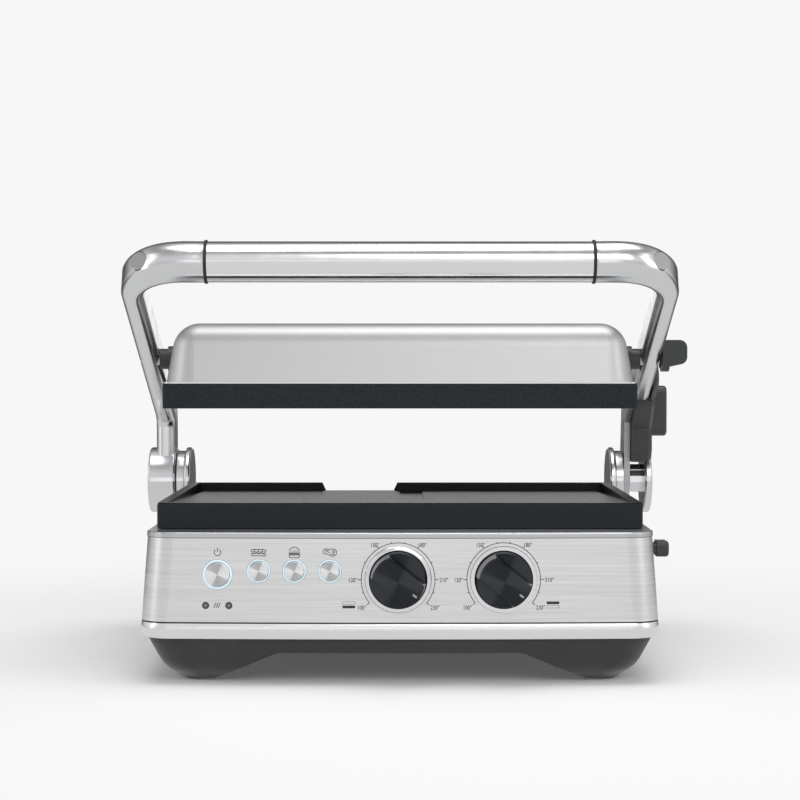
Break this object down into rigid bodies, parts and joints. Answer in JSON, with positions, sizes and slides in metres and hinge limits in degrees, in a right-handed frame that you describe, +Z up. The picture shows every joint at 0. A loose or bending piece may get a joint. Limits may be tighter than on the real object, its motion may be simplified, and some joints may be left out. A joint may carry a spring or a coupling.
{
  "type": "panini press",
  "caption": "Countertop contact grill: flat lower plate on a control base, ribbed upper plate on swing arms with a tube handle.",
  "frame": {"origin": "on the worktop, under the middle of the whole object's outline", "axes": "+X to the user's right, +Y away from the user, +Z up; the control panel faces -Y"},
  "size_m": [0.4336, 0.36, 0.313],
  "materials": {
    "brushed_steel": "fine horizontal brushing",
    "satin_steel": "bead blasted satin",
    "polished_metal": "polished",
    "deck_metal": "satin painted metal",
    "nonstick_plate": "speckled non-stick coating",
    "housing_plastic": "fine texture",
    "black_plastic": "satin",
    "knob_black": "spun face",
    "button_metal": "spun face",
    "light_ring": "translucent white",
    "lamp_lens": "dark lens",
    "rubber": "matte",
    "polished_casting": "polished die casting",
    "steel": "mill finish",
    "tinned_sheet": "aluminised sheet",
    "circuit_board": "solder mask",
    "element_sheath": "heat darkened"
  },
  "bodies": {
    "base": {"bottom_housing": "housing_plastic", "rubber_feet": "rubber", "base_screws": "steel", "trim_band": "polished_casting", "body_panel": "brushed_steel", "top_deck": "deck_metal", "control_carrier": "black_plastic", "control_board": "circuit_board", "button_switches": "black_plastic", "knob_encoders": "steel", "knob_bezels": "polished_metal", "light_rings": "light_ring", "indicator_lamps": "lamp_lens", "lower_reflector_pan": "tinned_sheet", "heat_shield": "tinned_sheet", "lower_heating_element": "element_sheath", "lower_sensor": "steel", "power_board": "circuit_board", "board_standoffs": "black_plastic", "cord_gland": "black_plastic", "tray_sleeve": "black_plastic", "lower_plate": "nonstick_plate", "hinge_post_left": "polished_casting", "hinge_post_right": "polished_casting", "hinge_collar_left": "polished_casting", "hinge_collar_right": "polished_casting", "hinge_pin_left": "steel", "hinge_pin_right": "steel", "height_cam": "polished_casting", "hinge_cap_right": "polished_casting"},
    "arms": {"left_arm": "polished_casting", "right_arm": "polished_casting", "hinge_bracket": "steel", "arm_screws": "steel", "handle_tube": "polished_metal", "handle_seals": "rubber", "handle_plugs": "polished_casting", "height_stop_housing": "black_plastic"},
    "lid": {"upper_plate": "nonstick_plate", "lid_frame": "deck_metal", "lid_cover": "satin_steel", "lid_pivot_bosses": "black_plastic", "lid_pivot_pins": "steel", "lid_crossbar": "steel", "upper_reflector": "tinned_sheet", "upper_heating_element": "element_sheath", "upper_sensor": "steel"},
    "height_slider": {"height_slider": "black_plastic"},
    "lid_lock_lever": {"lid_lock_lever": "black_plastic"},
    "knob_left": {"knob_left": "knob_black"},
    "knob_right": {"knob_right": "knob_black"},
    "power_button": {"power_button": "button_metal"},
    "preset_button_1": {"preset_button_1": "button_metal"},
    "preset_button_2": {"preset_button_2": "button_metal"},
    "preset_button_3": {"preset_button_3": "button_metal"},
    "base_release": {"base_release_button": "black_plastic", "base_latch_bar": "steel"},
    "drip_tray": {"drip_tray": "black_plastic"}
  },
  "joints": [
    {"name": "arm_hinge", "type": "hinge", "parent": "base", "child": "arms", "pos_m": [-0.0068, 0.149, 0.1256], "axis": [-1, 0, 0], "range_deg": [-26.6, 60]},
    {"name": "lid_pivot", "type": "hinge", "parent": "arms", "child": "lid", "pos_m": [-0.0068, 0.027, 0.2276], "axis": [-1, 0, 0], "range_deg": [-61, 28]},
    {"name": "height_slide", "type": "slide", "parent": "arms", "child": "height_slider", "axis": [0, 0, 1], "range_m": [0, 0.016]},
    {"name": "lid_lock_turn", "type": "hinge", "parent": "arms", "child": "lid_lock_lever", "pos_m": [0.1982, 0.027, 0.2276], "axis": [1, 0, 0], "range_deg": [0, 40]},
    {"name": "knob_left_turn", "type": "hinge", "parent": "base", "child": "knob_left", "pos_m": [-0.0081, -0.17, 0.0744], "axis": [0, -1, 0], "range_deg": [0, 258]},
    {"name": "knob_right_turn", "type": "hinge", "parent": "base", "child": "knob_right", "pos_m": [0.0653, -0.17, 0.0744], "axis": [0, -1, 0], "range_deg": [0, 258]},
    {"name": "power_button_press", "type": "slide", "parent": "base", "child": "power_button", "axis": [0, 1, 0], "range_m": [0, 0.0015], "stiffness_N_per_m": 600, "springref_m": -0.0005},
    {"name": "preset_button_1_press", "type": "slide", "parent": "base", "child": "preset_button_1", "axis": [0, 1, 0], "range_m": [0, 0.0015], "stiffness_N_per_m": 600, "springref_m": -0.0005},
    {"name": "preset_button_2_press", "type": "slide", "parent": "base", "child": "preset_button_2", "axis": [0, 1, 0], "range_m": [0, 0.0015], "stiffness_N_per_m": 600, "springref_m": -0.0005},
    {"name": "preset_button_3_press", "type": "slide", "parent": "base", "child": "preset_button_3", "axis": [0, 1, 0], "range_m": [0, 0.0015], "stiffness_N_per_m": 600, "springref_m": -0.0005},
    {"name": "base_release_press", "type": "slide", "parent": "base", "child": "base_release", "axis": [-1, 0, 0], "range_m": [0, 0.005], "stiffness_N_per_m": 800, "springref_m": -0.001},
    {"name": "tray_slide", "type": "slide", "parent": "base", "child": "drip_tray", "axis": [0, 1, 0], "range_m": [0, 0.09]}
  ],
  "couplings": [
    {"joint": "lid_pivot", "follows": "arm_hinge", "ratio": -1}
  ]
}
